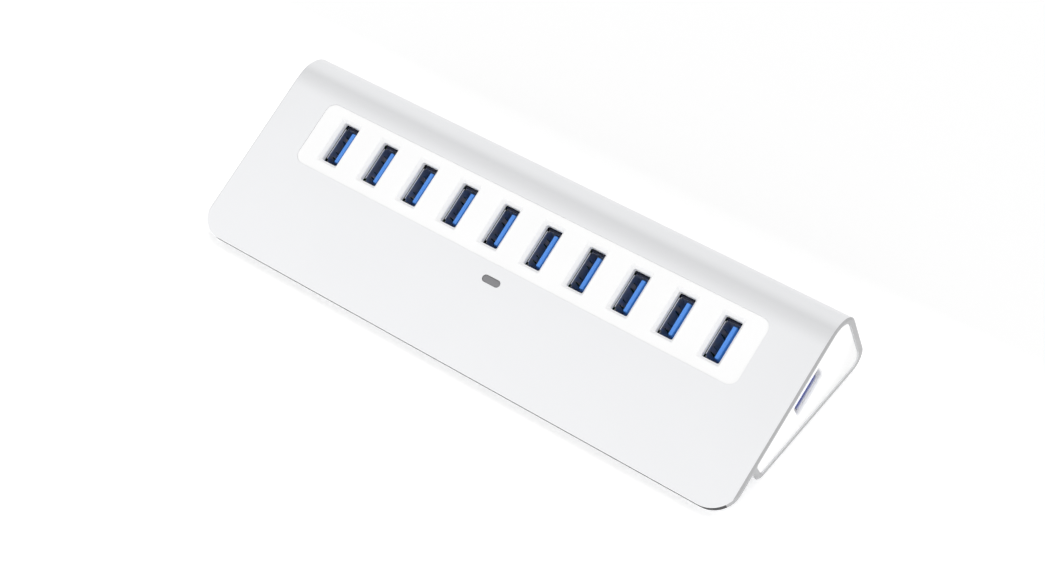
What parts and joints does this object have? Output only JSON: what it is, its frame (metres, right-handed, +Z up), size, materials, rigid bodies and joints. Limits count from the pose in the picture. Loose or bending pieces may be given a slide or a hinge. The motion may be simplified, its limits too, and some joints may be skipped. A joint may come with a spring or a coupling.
{
  "type": "usb hub",
  "caption": "Wedge-shaped aluminium desktop hub with a row of upright sockets in its sloping face, a front lip, a status light, a side socket and a power jack.",
  "frame": {"origin": "on the desk, under the middle of the hub's bounding box", "axes": "+X along the hub towards the end with the side socket, +Y from the front lip towards the ridge, +Z up"},
  "size_m": [0.2, 0.074, 0.0307],
  "materials": {
    "anodised_aluminium": "fine bead-blasted silver anodising, satin",
    "white_plastic": "smooth white, soft gloss",
    "smoked_plastic": "smooth grey light window",
    "plated_steel": "nickel-plated sheet, fine rolling grain",
    "blue_plastic": "moulded bright blue, satin",
    "circuit_board": "green solder mask",
    "black_plastic": "moulded black, satin",
    "contact_metal": "gold flash",
    "chip_resin": "moulded epoxy, matt",
    "crystal_can": "nickel-plated lid",
    "ferrite": "pressed powder, matt",
    "capacitor_can": "drawn can, satin",
    "led_body": "white body with clear window",
    "foot_rubber": "matt grey silicone"
  },
  "bodies": {
    "root": {"shell": "anodised_aluminium", "port_insert": "white_plastic", "right_end_cap": "white_plastic", "left_end_cap": "white_plastic", "light_guide": "smoked_plastic", "port_shell_01": "plated_steel", "port_tongue_01": "blue_plastic", "port_shell_02": "plated_steel", "port_tongue_02": "blue_plastic", "port_shell_03": "plated_steel", "port_tongue_03": "blue_plastic", "port_shell_04": "plated_steel", "port_tongue_04": "blue_plastic", "port_shell_05": "plated_steel", "port_tongue_05": "blue_plastic", "port_shell_06": "plated_steel", "port_tongue_06": "blue_plastic", "port_shell_07": "plated_steel", "port_tongue_07": "blue_plastic", "port_shell_08": "plated_steel", "port_tongue_08": "blue_plastic", "port_shell_09": "plated_steel", "port_tongue_09": "blue_plastic", "port_shell_10": "plated_steel", "port_tongue_10": "blue_plastic", "upstream_shell": "plated_steel", "upstream_tongue": "blue_plastic", "upstream_board": "circuit_board", "board_header": "black_plastic", "dc_jack_housing": "black_plastic", "dc_jack_pin": "contact_metal", "dc_jack_contact": "contact_metal", "main_board": "circuit_board", "hub_chip_1": "chip_resin", "crystal_1": "crystal_can", "hub_chip_2": "chip_resin", "crystal_2": "crystal_can", "hub_chip_3": "chip_resin", "crystal_3": "crystal_can", "power_inductor": "ferrite", "power_regulator": "chip_resin", "capacitor_1": "capacitor_can", "capacitor_2": "capacitor_can", "status_led": "led_body", "foot_1": "foot_rubber", "foot_2": "foot_rubber", "foot_3": "foot_rubber", "foot_4": "foot_rubber"}
  },
  "joints": []
}
